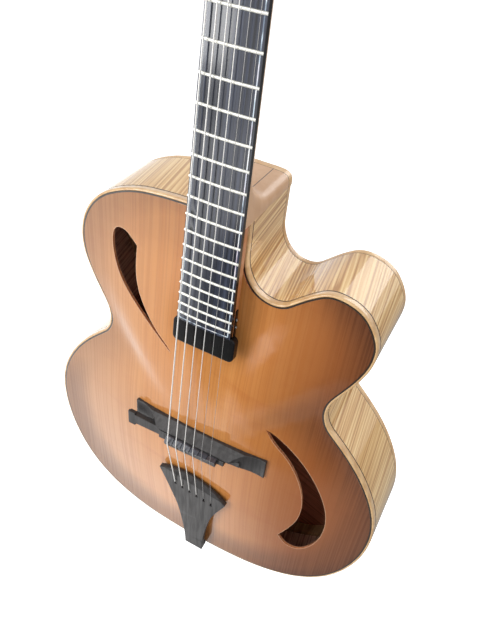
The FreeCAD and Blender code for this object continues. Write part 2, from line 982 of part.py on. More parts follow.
def rounded_block(half_width, low_z, high_z, top, bottom, corner):
    block = slab(Vector(-half_width, top, low_z), Vector(half_width, bottom, high_z))
    edges = [e for e in block.Edges if e.BoundBox.YLength > e.BoundBox.XLength + e.BoundBox.ZLength]
    return block.makeFillet(corner, edges)


def make_pickup_cover():
    bottom = pickup_drop + pickup_height
    outer = rounded_block(pickup_width / 2, pickup_low, pickup_high, pickup_drop, bottom, pickup_corner)
    top_edges = [e for e in outer.Edges if e.BoundBox.YMax < pickup_drop + pickup_edge / 2]
    outer = outer.makeFillet(pickup_edge, top_edges)
    inner = rounded_block(
        pickup_width / 2 - pickup_wall, pickup_low + pickup_wall, pickup_high - pickup_wall,
        pickup_drop + pickup_wall, bottom + overrun, pickup_corner - pickup_wall,
    )
    return placed(outer.cut(inner), neck_frame)


def pickup_middle():
    return (pickup_low + pickup_high) / 2


def make_pickup_coil():
    top = pickup_drop + pickup_wall
    half = coil_length / 2
    coil = rounded_block(coil_width / 2, pickup_middle() - half, pickup_middle() + half,
                         top, top + coil_height, half * coil_round_share)
    return placed(coil.cut(magnet_bar()), neck_frame)


def magnet_bar():
    top = pickup_drop + pickup_wall
    half = magnet_length / 2
    return slab(Vector(-magnet_width / 2, top, pickup_middle() - half),
                Vector(magnet_width / 2, top + coil_height, pickup_middle() + half))


def make_pickup_magnet():
    return placed(magnet_bar(), neck_frame)


def make_pickup_bracket():
    low = pickup_high - pickup_wall
    high = board_end + bracket_length
    depth = board_under + extension_thickness / 2
    points = []
    for z, out in ((low, 0), (high, 0), (high, bracket_thickness), (low, bracket_thickness)):
        points.append(Vector(board_half(z) + out, depth - bracket_height / 2, z))
    strip = prism(points, Vector(0, bracket_height, 0))
    return placed(strip, neck_frame).cut(make_bracket_screws()).cut(make_pickup_cover())


def make_bracket_screws():
    screws = []
    for start, end in bracket_screw_ends():
        head = rod(bracket_screw_head_radius, end, end + Vector(bracket_screw_head, 0, 0))
        screws.append(placed(rod(bracket_screw_radius, start, end).fuse(head).removeSplitter(), neck_frame))
    return Part.makeCompound(screws)


# Bridge
crown_y = front_plane - top_arch
floor_y = crown_y - floor_height
slope = math.tan(math.radians(wedge_slope))
channel_front = bridge_z + ramp_top - ramp_clearance
rear_limit = bridge_z - bridge_foot_rear


def side_prism(points, low_x, high_x):
    """Prism along x from points of (depth, height)."""
    return prism([Vector(low_x, y, z) for y, z in points], Vector(high_x - low_x, 0, 0))


def wedge_top(x):
    return floor_y - wedge_thickness + slope * x


def ridge_level():
    return ridge_y + segment_height + ramp_step


def rear_z(x):
    """Slanted rear edge of the bridge, which stands further back on the bass side."""
    return bridge_z - bridge_rear + bridge_skew_share * x


def bowed(start, end, shares):
    """Arc from start to end, through a point at the given shares of the way across and along."""
    across_share, along_share = shares
    gap = end - start
    middle = start + Vector(gap.x * across_share, gap.y * along_share, gap.z * along_share)
    return Part.Arc(start, middle, end).toShape()


def lines_through(points):
    return [Part.LineSegment(a, b).toShape() for a, b in zip(points[:-1], points[1:])]


def bridge_silhouette():
    """Front view of the bridge: a flat crest that falls in a hollow curve to each foot."""
    half = bridge_length / 2
    plateau = bridge_plateau / 2
    low = rear_limit - overrun
    end_y = top_y(half, bridge_z) - bridge_end_height
    rise = ridge_level()
    edges = []
    for side in (-1, 1):
        shoulder = Vector(side * plateau, rise, low)
        edges.append(bowed(shoulder, Vector(side * half, end_y, low), shoulder_bow_shares))
    foot = [Vector(half, end_y, low), Vector(half, 0, low), Vector(-half, 0, low), Vector(-half, end_y, low)]
    edges += lines_through(foot) + lines_through([Vector(-plateau, rise, low), Vector(plateau, rise, low)])
    face = Part.Face(Part.Wire(Part.__sortEdges__(edges)))
    return face.extrude(Vector(0, 0, bridge_front + bridge_foot_rear + 2 * overrun))


def bridge_hollow():
    """Room behind the bridge between its feet, seen from the front of the guitar."""
    half = bridge_length / 2
    waist = bridge_waist / 2
    y = ridge_y - overrun
    edges = []
    for side in (-1, 1):
        corner = Vector(side * waist, y, rear_z(side * waist))
        edges.append(bowed(corner, Vector(side * half, y, rear_limit), foot_bow_shares))
    edges += lines_through([Vector(-waist, y, rear_z(-waist)), Vector(waist, y, rear_z(waist))])
    outside = [Vector(-half, y, rear_limit), Vector(-half, y, rear_limit - overrun),
               Vector(half, y, rear_limit - overrun), Vector(half, y, rear_limit)]
    edges += lines_through(outside)
    return Part.Face(Part.Wire(Part.__sortEdges__(edges))).extrude(Vector(0, rim_depth, 0))


def make_bridge_base():
    half = bridge_length / 2
    front = bridge_z + bridge_front
    ramp_back = bridge_z + ramp_top
    body = side_prism(
        [
            (0, rear_limit), (0, front), (crown_y - bridge_front_edge, front),
            (ridge_level(), ramp_back + ramp_land), (ridge_level(), ramp_back),
            (floor_y, ramp_back), (floor_y, rear_limit),
        ],
        -half, half,
    )
    under = arch_face(top_arch, -1, 0).extrude(Vector(0, rim_depth, 0))
    return body.common(bridge_silhouette()).cut(bridge_hollow()).cut(under)


def behind_channel():
    """Room behind the slanted rear edge of the wedge and the saddle."""
    reach = wedge_left + overrun
    points = [
        Vector(-reach, 0, rear_z(-reach)), Vector(reach, 0, rear_z(reach)),
        Vector(reach, 0, rear_limit - overrun), Vector(-reach, 0, rear_limit - overrun),
    ]
    return prism(points, Vector(0, ridge_y - overrun, 0))


def channel_bar(profile):
    """Bar with the given profile of (place across, depth) along the whole depth of the channel."""
    return prism([Vector(x, y, rear_limit) for x, y in profile], Vector(0, 0, channel_front - rear_limit))


def make_wedge():
    lift = slide_clearance
    flat_from = -saddle_left
    flat_top = wedge_top(flat_from) - lift
    bar = channel_bar(
        [
            (-wedge_left, floor_y - lift), (wedge_right, floor_y - lift),
            (wedge_right, wedge_top(wedge_right) - lift), (flat_from, flat_top), (-wedge_left, flat_top),
        ]
    )
    handle_rear = rear_z(-wedge_left) - wedge_handle_overhang
    handle = slab(
        Vector(-wedge_left, flat_top, handle_rear),
        Vector(
            -wedge_left + wedge_handle_length,
            flat_top + wedge_handle_thickness,
            handle_rear + wedge_handle_width,
        ),
    )
    return bar.cut(behind_channel()).fuse(handle).removeSplitter()


def saddle_string(i):
    share = string_shares[i] + 0.5
    radius = string_diameters[i] / 2
    back = bass_compensation * (1 - share)
    across_place = saddle_shift + saddle_spread * string_shares[i]
    return on_neck(across_place, -saddle_action - radius, -joint_reach - back)


def saddle_crest(i):
    return saddle_string(i).y + string_diameters[i] / 2 + string_clearance


saddle_level = ridge_y + segment_height
string_pitch = saddle_spread / (len(string_diameters) - 1)


def make_saddle():
    """Bar on the wedge with one step for each string, which falls away towards the rear."""
    lift = 2 * slide_clearance
    saddle = channel_bar(
        [
            (-saddle_left, wedge_top(-saddle_left) - lift), (saddle_right, wedge_top(saddle_right) - lift),
            (saddle_right, saddle_level), (-saddle_left, saddle_level),
        ]
    )
    for i in range(len(string_diameters)):
        at = saddle_string(i)
        low = at.z - segment_tail
        top = saddle_crest(i) + segment_tail_fall
        points = [(top + saddle_fall, rear_limit), (top, low)]
        points += [(saddle_level, low), (saddle_level, rear_limit)]
        saddle = saddle.fuse(side_prism(points, at.x - string_pitch / 2, at.x + string_pitch / 2))
    return saddle.removeSplitter().cut(behind_channel())


def make_segments():
    segments = []
    half = (string_pitch - segment_gap) / 2
    for i in range(len(string_diameters)):
        at = saddle_string(i)
        crest = saddle_crest(i)
        low = at.z - segment_tail
        points = [
            (saddle_level, low), (crest + segment_tail_fall, low), (crest, at.z),
            (crest + segment_fall, channel_front), (saddle_level, channel_front),
        ]
        segments.append(side_prism(points, at.x - half, at.x + half))
    return Part.makeCompound(segments)


# Tailpiece frame: x across, y behind its front face, z up from its top edge; it reaches down to the tail
tail_reach = bridge_z - tailpiece_top
tailpiece_tilt = math.atan2(tailpiece_rise - tailpiece_foot_rise, tail_reach)
tailpiece_length = tail_reach / math.cos(tailpiece_tilt) + tailpiece_overhang
tail_frame = Placement(
    Vector(0, front_plane - tailpiece_rise, tail_reach),
    Rotation(Vector(1, 0, 0), math.degrees(tailpiece_tilt)),
)


def tailpiece_lips():
    """Thickened foot of the tailpiece, on both sides of the strap."""
    lips = []
    for side in (-1, 1):
        lips.append(slab(
            Vector(side * (strap_width / 2 + strap_clearance), 0, -tailpiece_length),
            Vector(side * tailpiece_waist / 2, tailpiece_lip, tailpiece_lip_height - tailpiece_length),
        ))
    return Part.makeCompound(lips)


def make_tailpiece():
    half = tailpiece_width / 2
    waist = tailpiece_waist / 2
    lean = tailpiece_slant / tailpiece_width
    left = Vector(-half - tailpiece_shift, 0, half * lean)
    right = Vector(half - tailpiece_shift, 0, -half * lean)
    crest = Vector(-tailpiece_shift, 0, tailpiece_crest)
    top = Part.Arc(left, crest, right).toShape()
    sides = []
    for side in (1, -1):
        start = right if side > 0 else left
        anchors = [(start, tailpiece_flare)]
        anchors += [(Vector(half * w, 0, -tailpiece_length * h), a) for w, h, a in tailpiece_shares]
        anchors += [(Vector(waist, 0, -tailpiece_length), -90.0)]
        points = []
        for p, a in anchors:
            points.append((Vector(side * abs(p.x), 0, p.z), heading(a if side > 0 else 180.0 - a)))
        edges = []
        for here, there in zip(points[:-1], points[1:]):
            for arc in biarc(here[0], here[1], there[0], there[1]):
                edges.append(edge_through(*[p for p, d in arc]))
        sides.append(edges)
    foot_end = Vector(waist, 0, -tailpiece_length)
    foot = Part.LineSegment(foot_end, foot_end - Vector(tailpiece_waist, 0, 0)).toShape()
    face = Part.Face(Part.Wire(Part.__sortEdges__([top] + sides[0] + [foot] + sides[1])))
    plate = face.extrude(Vector(0, tailpiece_thickness, 0)).fuse(tailpiece_lips()).removeSplitter()
    bevel_low = tailpiece_crest - tailpiece_bevel
    bevel_reach = tailpiece_bevel + overrun
    ramp = prism(
        [
            Vector(-tailpiece_width, 0, bevel_low),
            Vector(-tailpiece_width, -overrun, bevel_low),
            Vector(-tailpiece_width, -overrun, bevel_low + bevel_reach),
            Vector(-tailpiece_width, tailpiece_bevel_drop * bevel_reach / tailpiece_bevel,
                   bevel_low + bevel_reach),
        ],
        Vector(2 * tailpiece_width, 0, 0),
    )
    ramp.rotate(Vector(0, 0, 0), Vector(0, 1, 0), math.degrees(math.atan(lean)))
    plate = plate.cut(ramp)
    holes = [key_hole(i) for i in range(len(string_diameters))]
    return placed(plate.cut(Part.makeCompound(holes)), tail_frame)


def key_place(i):
    return Vector(key_spread * string_shares[i], 0, -key_setback - key_slant * string_shares[i])


def key_hole(i):
    at = key_place(i)
    depth = Vector(0, tailpiece_thickness + overrun, 0)
    start = at - Vector(0, overrun, 0)
    half = key_slot_width / 2
    slot = slab(start - Vector(half, 0, 0), at + depth + Vector(half, 0, key_slot_length))
    return rod(key_hole_radius, start, at + depth).fuse(slot)


def under_tailpiece(depth, height):
    """Point at the given height on the plane that lies depth behind the tailpiece's front face."""
    start = tail_frame.multVec(Vector(0, depth, 0))
    along = tail_frame.Rotation.multVec(Vector(0, 0, 1))
    return start + along * ((height - start.z) / along.z)


def make_tail_strap():
    inner = tailpiece_thickness + strap_thickness
    profile = [
        under_tailpiece(tailpiece_thickness, strap_grip),
        under_tailpiece(tailpiece_thickness, -strap_thickness),
        Vector(0, 0, -strap_thickness),
        Vector(0, 0, 0),
        under_tailpiece(inner, 0),
        under_tailpiece(inner, strap_grip),
    ]
    side = Vector(-strap_width / 2, 0, 0)
    strip = prism([point + side for point in profile], Vector(strap_width, 0, 0))
    ring = rod(jack_flange_radius, Vector(0, 0, 0), Vector(0, 0, -strap_thickness))
    return fused([strip, ring]).cut(jack_bore())


def make_jack():
    steps = [
        (jack_barrel_radius, jack_length_inside, -strap_thickness),
        (jack_flange_radius, -strap_thickness, -strap_thickness - jack_flange),
        (jack_waist_radius, -strap_thickness - jack_flange, -strap_thickness - jack_flange - jack_waist),
        (
            jack_head_radius,
            -strap_thickness - jack_flange - jack_waist,
            -strap_thickness - jack_flange - jack_waist - jack_head,
        ),
    ]
    body = fused([rod(r, Vector(0, 0, a), Vector(0, 0, b)) for r, a, b in steps])
    end = -strap_thickness - jack_flange - jack_waist - jack_head
    bore = rod(jack_bore_radius, Vector(0, 0, end - overrun), Vector(0, 0, tail_block_length))
    return body.cut(bore)


def make_jack_nut():
    low = Vector(0, 0, tail_block_length)
    high = low + Vector(0, 0, jack_nut_length)
    return rod(jack_nut_radius, low, high).cut(rod(jack_barrel_radius, low, high))


# Strings
def fillet_path(points, radii):
    """Straight runs through points with a tangent arc of the given radius at each inner point."""
    edges = []
    last = points[0]
    for before, at, after, radius in zip(points[:-2], points[1:-1], points[2:], radii):
        a = (before - at).normalize()
        b = (after - at).normalize()
        half_turn = math.acos(max(-1.0, min(1.0, -a.dot(b)))) / 2
        reach = radius * math.tan(half_turn)
        start = at + a * reach
        end = at + b * reach
        inward = (a + b).normalize()
        middle = at + inward * (radius / math.cos(half_turn) - radius)
        edges.append(Part.LineSegment(last, start).toShape())
        edges.append(Part.Arc(start, middle, end).toShape())
        last = end
    edges.append(Part.LineSegment(last, points[-1]).toShape())
    return edges


def winding_nodes(i, start):
    """Nodes of the turns round a post, each with its direction, in the headstock frame."""
    x, z, side = post_places()[i]
    diameter = string_diameters[i]
    pitch = diameter + winding_gap
    reach = post_radius + wrap_clearance + diameter / 2
    bottom = -bushing_flange - winding_gap - diameter / 2
    top = bottom - pitch * winding_turns
    flat = Vector(start.x - x, 0, start.z - z)
    base = math.atan2(flat.z, flat.x)
    open_angle = math.acos(reach / flat.Length)
    choices = [base + open_angle, base - open_angle]
    angle = min(choices, key=lambda a: abs(x + reach * math.cos(a)))
    turn = 1 if side < 0 else -1
    nodes = []
    for step in range(4 * winding_turns + 1):
        a = angle + turn * step * math.pi / 2
        point = Vector(x + reach * math.cos(a), top + pitch * step / 4, z + reach * math.sin(a))
        run = Vector(-turn * math.sin(a) * reach, pitch / (2 * math.pi), turn * math.cos(a) * reach)
        nodes.append((point, run.normalize()))
    return nodes


def nut_in_head(i):
    return head_frame.inverse().multVec(neck_frame.multVec(nut_string(i)))


def winding_start(i):
    return on_head(*winding_nodes(i, nut_in_head(i))[0][0])


def string_edges(i):
    radius = string_diameters[i] / 2
    key = key_place(i) + Vector(0, 0, key_slot_length - anchor_bend)
    lift = radius + string_clearance
    anchor = tail_frame.multVec(key + Vector(0, anchor_depth, 0))
    lip = tail_frame.multVec(key + Vector(0, -lift, 0))
    saddle = saddle_string(i)
    nut = neck_frame.multVec(nut_string(i))
    nodes = winding_nodes(i, nut_in_head(i))
    first = winding_start(i)
    edges = fillet_path([anchor, lip, saddle, nut, first], [anchor_bend, saddle_bend, nut_bend])
    direction = (first - nut).normalize()
    turned = [(on_head(*p), head_frame.Rotation.multVec(d)) for p, d in nodes]
    turned[0] = (turned[0][0], direction)
    for here, there in zip(turned[:-1], turned[1:]):
        for arc in biarc(here[0], here[1], there[0], there[1]):
            edges.append(edge_through(*[p for p, d in arc]))
    tail = turned[-1]
    edges.append(Part.LineSegment(tail[0], tail[0] + tail[1] * (2 * string_diameters[i])).toShape())
    return edges


def make_string(i):
    edges = string_edges(i)
    path = Part.Wire(edges)
    start = edges[0].Vertexes[0].Point
    along = edges[0].tangentAt(edges[0].FirstParameter)
    circle = Part.Wire(Part.Circle(start, along, string_diameters[i] / 2).toShape())
    string = path.makePipeShell([circle], True, False)
    expected = math.pi * (string_diameters[i] / 2) ** 2 * path.Length
    share = string.Volume / expected
    print("string", i + 1, "length", round(path.Length, 1), "volume share", round(share, 4))
    return string


def print_winding_gaps():
    for i, diameter in enumerate(string_diameters):
        edges = string_edges(i)[7:]
        points = [p for edge in edges for p in edge.discretize(12)]
        skip = 12 * 4
        least = min(
            (p - q).Length for a, p in enumerate(points) for q in points[a + skip:]
        )
        print("winding", i + 1, "least gap to itself", round(least - diameter, 3))


# Tuners
def make_housings():
    housings = []
    for x, z, side in post_places():
        box = slab(
            Vector(x - housing_width / 2, head_back, z - housing_below),
            Vector(x + housing_width / 2, housing_back, z + housing_above),
        )
        edges = [e for e in box.Edges if e.BoundBox.YMin > worm_level]
        box = box.makeFillet(housing_wall / 2, edges)
        sx, sz = ear_place(x, z)
        ear = rod(ear_radius, Vector(sx, head_back, sz), Vector(sx, head_back + ear_thickness, sz))
        web = slab(
            Vector(sx - ear_radius, head_back, sz),
            Vector(sx + ear_radius, head_back + ear_thickness, z - gear_radius),
        )
        hole = rod(ear_screw_radius, Vector(sx, head_back, sz), Vector(sx, head_back + ear_thickness, sz))
        box = fused([box, ear, web.cut(rod(gear_radius + cavity_clearance, Vector(x, head_back, z),
                                           Vector(x, housing_back, z)))])
        cavity = rod(
            gear_radius + cavity_clearance, Vector(x, head_back, z),
            Vector(x, gear_high + cavity_clearance, z),
        )
        worm_z = z + worm_reach
        half = housing_width / 2 - housing_wall
        worm = rod(
            worm_radius + cavity_clearance, Vector(x - half, worm_level, worm_z),
            Vector(x + half, worm_level, worm_z),
        )
        bore = rod(
            shaft_radius + post_clearance, Vector(x, worm_level, worm_z),
            Vector(x + side * housing_width, worm_level, worm_z),
        )
        housings.append(box.cut(Part.makeCompound([cavity, worm, bore, hole])))
    return Part.makeCompound([placed(h, head_frame) for h in housings])


def make_bushings():
    bushings = []
    for x, z, side in post_places():
        sleeve = rod(bushing_radius, Vector(x, 0, z), Vector(x, head_back, z))
        flange = rod(bushing_flange_radius, Vector(x, -bushing_flange, z), Vector(x, 0, z))
        bore = rod(post_radius + post_clearance, Vector(x, -overrun, z), Vector(x, head_back + overrun, z))
        bushings.append(placed(sleeve.fuse(flange).removeSplitter().cut(bore), head_frame))
    return Part.makeCompound(bushings)


def make_post(i):
    x, z, side = post_places()[i]
    shaft = rod(post_radius, Vector(x, -post_height, z), Vector(x, gear_high, z))
    gear = rod(gear_radius, Vector(x, gear_low, z), Vector(x, gear_high, z))
    return placed(shaft.fuse(gear).removeSplitter(), head_frame)


def make_button(i):
    x, z, side = post_places()[i]
    worm_z = z + worm_reach
    half = housing_width / 2 - housing_wall - cavity_clearance
    worm = rod(worm_radius, Vector(x - half, worm_level, worm_z), Vector(x + half, worm_level, worm_z))
    knob_start = x + side * button_offset
    middle = Vector(knob_start + side * button_width / 2, worm_level, worm_z)
    shaft = rod(shaft_radius, Vector(x, worm_level, worm_z), middle)
    knob = Part.makeSphere(unit_radius)
    knob.rotate(Vector(0, 0, 0), Vector(0, 0, 1), seam_turn)
    scale = FreeCAD.Matrix()
    scale.scale(button_width / 2, button_thickness / 2, button_height / 2)
    knob = knob.transformGeometry(scale)
    knob.translate(middle)
    return placed(fused([worm, shaft, knob]), head_frame)


def make_ear_screws():
    screws = []
    for x, z, side in post_places():
        sx, sz = ear_place(x, z)
        top = head_back + ear_thickness
        shank = rod(ear_screw_radius, Vector(sx, head_back - ear_screw_length, sz), Vector(sx, top, sz))
        head = rod(ear_screw_head_radius, Vector(sx, top, sz), Vector(sx, top + ear_screw_head, sz))
        screws.append(placed(shank.fuse(head).removeSplitter(), head_frame))
    return Part.makeCompound(screws)


# Output
os.makedirs("parts", exist_ok=True)
rib_bass, rib_treble = make_ribs()
neck = make_neck()
strip_in = (strip_spread - strip_width) / 2
strip_out = strip_in + strip_width
parts = {
    "top_plate": make_top_plate(),
    "back_plate": make_back_plate(),
    "rib_bass": rib_bass,
    "rib_treble": rib_treble,
    "top_binding": rounded_binding(front_plane, line_low, front_plane),
    "back_binding": rounded_binding(line_high, half_rim, half_rim),
    "plate_purfling": make_purfling(),
    "rib_lines": make_rib_lines(),
    "top_lining": make_lining(block_top + lining_gap, block_top + lining_height),
    "back_lining": make_lining(block_back - lining_height, block_back - lining_gap),
    "neck_block": make_neck_block(),
    "tail_block": make_tail_block(),
    "tone_bars": make_tone_bars(),
    "heel_cap": make_heel_cap(),
    "neck_bass": neck_layer(neck, -headstock_width, -strip_out),
    "neck_core": neck_layer(neck, -strip_in, strip_in),
    "neck_treble": neck_layer(neck, strip_out, headstock_width),
    "neck_strip": Part.makeCompound(
        [neck_layer(neck, -strip_out, -strip_in), neck_layer(neck, strip_in, strip_out)]
    ),
    "neck_extension": make_extension(),
    "fingerboard": make_fingerboard(),
    "board_inlay": placed(inlay_strip(), neck_frame),
    "frets": make_frets(),
    "nut": make_nut(),
    "headplate": make_headplate(),
    "truss_rod": make_truss_rod(),
    "truss_rod_nut": make_rod_nut(),
    "truss_rod_cover": make_rod_cover(),
    "cover_screws": make_cover_screws(),
    "pickup_cover": make_pickup_cover(),
    "pickup_coil": make_pickup_coil(),
    "pickup_magnet": make_pickup_magnet(),
    "pickup_bracket": make_pickup_bracket(),
    "bracket_screws": make_bracket_screws(),
    "bridge_base": make_bridge_base(),
    "bridge_wedge": make_wedge(),
    "bridge_saddle": make_saddle(),
    "saddle_segments": make_segments(),
    "tailpiece": make_tailpiece(),
    "tail_strap": make_tail_strap(),
    "end_pin_jack": make_jack(),
    "jack_nut": make_jack_nut(),
    "tuner_housings": make_housings(),
    "tuner_bushings": make_bushings(),
    "tuner_screws": make_ear_screws(),
}
for i in range(len(string_diameters)):
    parts["tuner_post_%d" % (i + 1)] = make_post(i)
    parts["tuner_button_%d" % (i + 1)] = make_button(i)
strings = [make_string(i) for i in range(len(string_diameters))]
parts["strings_wound"] = Part.makeCompound(strings[:wound_count])
parts["strings_plain"] = Part.makeCompound(strings[wound_count:])
print_winding_gaps()
for name, shape in parts.items():
    shape.exportStep("parts/%s.step" % name)
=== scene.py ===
import json
import math

import bpy
from mathutils import Matrix, Vector

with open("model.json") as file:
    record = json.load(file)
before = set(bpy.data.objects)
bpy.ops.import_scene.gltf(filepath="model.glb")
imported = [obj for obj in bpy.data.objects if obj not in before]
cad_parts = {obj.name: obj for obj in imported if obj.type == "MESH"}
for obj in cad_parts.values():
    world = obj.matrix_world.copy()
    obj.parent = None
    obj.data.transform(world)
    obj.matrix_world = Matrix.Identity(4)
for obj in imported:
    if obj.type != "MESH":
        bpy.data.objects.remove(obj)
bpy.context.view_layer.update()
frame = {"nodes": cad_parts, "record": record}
nodes = frame["nodes"]

# Straight foot and power of the sRGB curve
SRGB_FOOT, SRGB_SLOPE, SRGB_SHIFT, SRGB_POWER = 0.04045, 12.92, 0.055, 2.4
# Colour sockets of the Mix node, whose names repeat for each kind of data
MIX_SHARE, MIX_A, MIX_B, MIX_RESULT = 0, 6, 7, 2
# Float sockets of the Map Range node for the ends of its two ranges
RANGE_ENDS = (1, 2, 3, 4)
# Values that a noise mostly keeps to, and its narrower middle
NOISE_WIDE, NOISE_NARROW = (0.3, 0.7), (0.4, 0.6)


# Node material helpers
def linear(channel):
    """Linear value of one sRGB channel from 0 to 255."""
    c = channel / 255
    if c <= SRGB_FOOT:
        return c / SRGB_SLOPE
    return ((c + SRGB_SHIFT) / (1 + SRGB_SHIFT)) ** SRGB_POWER


def srgb(r, g, b):
    return (linear(r), linear(g), linear(b), 1.0)


def grey(v):
    return (v, v, v, 1.0)


class Mat:
    """Builds a node material around one Principled shader."""

    def __init__(self, name, **constants):
        self.m = bpy.data.materials.new(name)
        self.m.use_nodes = True
        self.t = self.m.node_tree
        self.shader = self.t.nodes["Principled BSDF"]
        for key, value in constants.items():
            self.shader.inputs[key.replace("_", " ")].default_value = value
        coords = self.t.nodes.new("ShaderNodeTexCoord")
        self.place = coords.outputs["Object"]
        self.normal = coords.outputs["Normal"]

    def node(self, kind, inputs=(), **settings):
        """New node; inputs gives a value or a link for each socket."""
        n = self.t.nodes.new(kind)
        for key, value in settings.items():
            setattr(n, key, value)
        for key, value in dict(inputs).items():
            self.put(n.inputs[key], value)
        return n

    def put(self, socket, value):
        if isinstance(value, bpy.types.NodeSocket):
            self.t.links.new(value, socket)
        else:
            socket.default_value = value

    def math(self, op, a, b=0.0):
        return self.node("ShaderNodeMath", {0: a, 1: b}, operation=op).outputs[0]

    def split(self, vector=None):
        source = self.place if vector is None else vector
        return self.node("ShaderNodeSeparateXYZ", {0: source}).outputs

    def noise(self, scale, detail, rough, distort=0.0, vector=None):
        source = self.place if vector is None else vector
        scaled = self.node("ShaderNodeMapping", {"Vector": source, "Scale": scale}).outputs[0]
        sockets = {"Vector": scaled, "Scale": 1.0, "Detail": detail}
        sockets.update({"Roughness": rough, "Distortion": distort})
        return self.node("ShaderNodeTexNoise", sockets).outputs["Fac"]

    def ramp(self, value, stops):
        """Colours along a value, from (value, colour) stops."""
        n = self.node("ShaderNodeValToRGB", {0: value})
        elements = n.color_ramp.elements
        while len(elements) < len(stops):
            elements.new(0.5)
        for element, (at, colour) in zip(elements, stops):
            element.position = at
            element.color = colour
        return n.outputs[0]

    def span(self, value, low, high, out_low=0.0, out_high=1.0):
        """Smooth step from out_low to out_high while value goes from low to high."""
        n = self.node("ShaderNodeMapRange", {0: value}, interpolation_type="SMOOTHSTEP")
        for socket, end in zip(RANGE_ENDS, (low, high, out_low, out_high)):
            n.inputs[socket].default_value = end
        return n.outputs[0]

    def mix(self, share, a, b):
        sockets = {MIX_SHARE: share, MIX_A: a, MIX_B: b}
        return self.node("ShaderNodeMix", sockets, data_type="RGBA").outputs[MIX_RESULT]

    def join(self, kind, a, b, share=None):
        """Adds two shaders, or mixes them by share."""
        n = self.node(kind)
        shaders = [socket for socket in n.inputs if socket.type == "SHADER"]
        self.put(shaders[0], a)
        self.put(shaders[1], b)
        if share is not None:
            self.put(n.inputs[0], share)
        return n.outputs[0]

    def oval(self, x, z, half_x, middle_z, half_z):
        """Squared share of the way from the middle of an oval to its edge."""
        across = self.math("DIVIDE", x, half_x)
        along = self.math("DIVIDE", self.math("SUBTRACT", z, middle_z), half_z)
        return self.math("ADD", self.math("POWER", across, 2.0), self.math("POWER", along, 2.0))

    def surface(self, colour, rough, height, strength, distance):
        """Links colour, roughness and bump to the shader, and gives the material."""
        bump = {"Height": height, "Strength": strength, "Distance": distance}
        self.put(self.shader.inputs["Base Color"], colour)
        self.put(self.shader.inputs["Roughness"], rough)
        self.put(self.shader.inputs["Normal"], self.node("ShaderNodeBump", bump).outputs[0])
        return self.m


